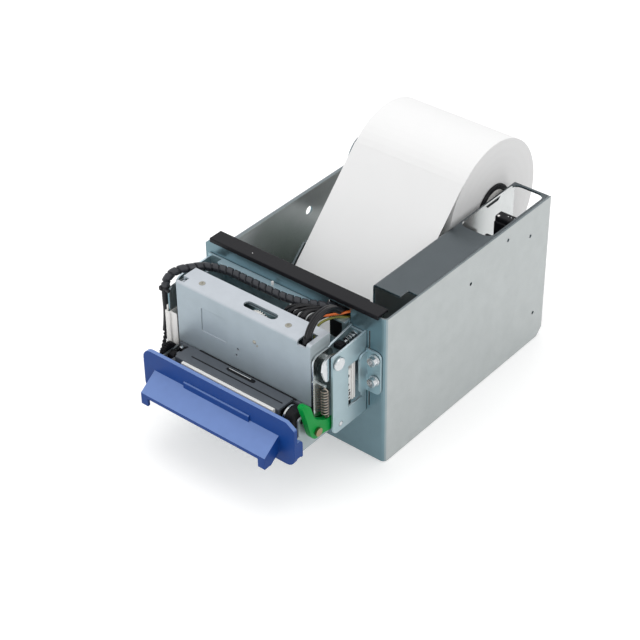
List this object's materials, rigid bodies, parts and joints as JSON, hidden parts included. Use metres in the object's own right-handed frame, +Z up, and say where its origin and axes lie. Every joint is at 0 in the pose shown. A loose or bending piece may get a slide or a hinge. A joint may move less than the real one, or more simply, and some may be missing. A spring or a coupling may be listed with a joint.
{
  "type": "kiosk ticket printer",
  "caption": "Open-frame kiosk ticket printer: steel chassis with a paper roll at the back and a swing-open print module with a blue bezel at the front.",
  "frame": {"origin": "Middle of the underside of the chassis, between its side walls and between its front panel and its rear edge.", "axes": "+X to the printer's right seen from the bezel, +Y back towards the paper roll, +Z up."},
  "size_m": [0.133, 0.2603, 0.1324],
  "materials": {
    "galvanised": "galvanised sheet, matt sheen",
    "plated": "zinc plated sheet with a cool tint",
    "cover_steel": "light blue-grey powder coat",
    "arm_steel": "dark plated steel",
    "bright_steel": "bright plated steel",
    "brass": "turned brass",
    "black_plastic": "black moulded plastic",
    "grey_plastic": "dark grey moulded plastic",
    "white_plastic": "white moulded plastic",
    "blue_plastic": "blue moulded plastic",
    "green_plastic": "bright green moulded plastic",
    "rubber": "black rubber",
    "paper": "smooth white paper",
    "board": "green circuit board",
    "aluminium": "plain aluminium"
  },
  "bodies": {
    "chassis": {"chassis_tray": "galvanised", "outer_wall": "galvanised", "side_channel": "galvanised", "top_bar": "black_plastic", "module_frame": "plated", "right_bracket": "plated", "bracket_tab": "plated", "tab_screw_upper": "bright_steel", "tab_screw_lower": "bright_steel", "bracket_stop": "black_plastic", "catch_pin": "bright_steel", "axle_left": "bright_steel", "axle_right": "bright_steel", "hinge_hook": "bright_steel", "module_cover": "cover_steel", "cover_screw_left": "bright_steel", "cover_screw_right": "bright_steel", "cutter_plate": "galvanised", "cutter_motor": "galvanised", "thermal_head": "aluminium", "head_rod": "bright_steel", "spindle": "white_plastic", "spindle_arm": "galvanised", "paper_web": "paper", "web_guide": "galvanised", "control_board": "board", "sensor_body": "black_plastic", "harness_conduit": "black_plastic", "right_branch": "black_plastic", "flat_cable": "black_plastic", "harness_sleeve": "black_plastic", "left_lead": "black_plastic"},
    "front_unit": {"left_arm": "galvanised", "right_arm": "arm_steel", "side_guard": "white_plastic", "lower_tray": "cover_steel", "gear_plate": "galvanised", "exit_housing": "grey_plastic", "exit_strip": "white_plastic", "bezel": "blue_plastic", "fixed_blade": "bright_steel", "lower_guide": "grey_plastic", "feed_motor": "galvanised", "feed_bearing": "bright_steel", "lever_screw": "brass"},
    "exit_feed": {"feed_roller": "rubber", "feed_gear": "black_plastic", "feed_knob": "rubber"},
    "platen": {"platen_roller": "rubber", "platen_gear": "white_plastic"},
    "feed_pinion": {"motor_pinion": "bright_steel"},
    "lever": {"release_lever": "green_plastic", "release_spring": "bright_steel"},
    "cutter_wheel": {"cutter_gear": "white_plastic"},
    "cutter_drive": {"cutter_pinion": "bright_steel"},
    "cutter_blade": {"moving_blade": "bright_steel"},
    "roll": {"paper_roll": "paper", "roll_hub": "black_plastic"},
    "guide": {"guide_roller": "grey_plastic"},
    "finger": {"sensor_finger": "black_plastic"}
  },
  "joints": [
    {"name": "front_unit_hinge", "type": "hinge", "parent": "chassis", "child": "front_unit", "pos_m": [0, -0.1051, 0.0807], "axis": [-1, 0, 0], "range_deg": [0, 28], "deforming": ["left_lead"]},
    {"name": "platen_spin", "type": "hinge", "parent": "front_unit", "child": "platen", "pos_m": [0, -0.10946, 0.0392], "axis": [1, 0, 0], "continuous": true},
    {"name": "feed_spin", "type": "hinge", "parent": "front_unit", "child": "exit_feed", "pos_m": [0, -0.1262, 0.0492], "axis": [1, 0, 0], "continuous": true},
    {"name": "pinion_spin", "type": "hinge", "parent": "front_unit", "child": "feed_pinion", "pos_m": [0, -0.09395, 0.04484], "axis": [1, 0, 0], "continuous": true},
    {"name": "lever_hinge", "type": "hinge", "parent": "front_unit", "child": "lever", "pos_m": [0, -0.1208, 0.042], "axis": [-1, 0, 0], "range_deg": [0, 15], "stiffness_Nm_per_rad": 0.05, "springref_deg": -22.92, "deforming": ["release_spring"]},
    {"name": "cutter_turn", "type": "hinge", "parent": "chassis", "child": "cutter_wheel", "pos_m": [0.0005, -0.11, 0.0856], "axis": [0, 1, 0], "range_deg": [0, 180]},
    {"name": "cutter_pinion_turn", "type": "hinge", "parent": "chassis", "child": "cutter_drive", "pos_m": [0.01126, -0.11, 0.08331], "axis": [0, 1, 0], "range_deg": [-490, 10]},
    {"name": "blade_slide", "type": "slide", "parent": "chassis", "child": "cutter_blade", "axis": [0, 0, -1], "range_m": [0, 0.006]},
    {"name": "roll_spin", "type": "hinge", "parent": "chassis", "child": "roll", "pos_m": [0, 0.0641, 0.0884], "axis": [1, 0, 0], "continuous": true},
    {"name": "guide_spin", "type": "hinge", "parent": "chassis", "child": "guide", "pos_m": [0, -0.0638, 0.0288], "axis": [1, 0, 0], "continuous": true},
    {"name": "finger_hinge", "type": "hinge", "parent": "chassis", "child": "finger", "pos_m": [0.0492, 0.0462, 0.0805], "axis": [0, 0, 1], "range_deg": [0, 15], "stiffness_Nm_per_rad": 0.002, "springref_deg": -22.92}
  ],
  "couplings": [
    {"joint": "feed_spin", "follows": "platen_spin", "ratio": -2.25},
    {"joint": "pinion_spin", "follows": "platen_spin", "ratio": -4.5},
    {"joint": "cutter_turn", "follows": "blade_slide", "rad_per_m": 523.5},
    {"joint": "cutter_pinion_turn", "follows": "blade_slide", "rad_per_m": -1396}
  ]
}
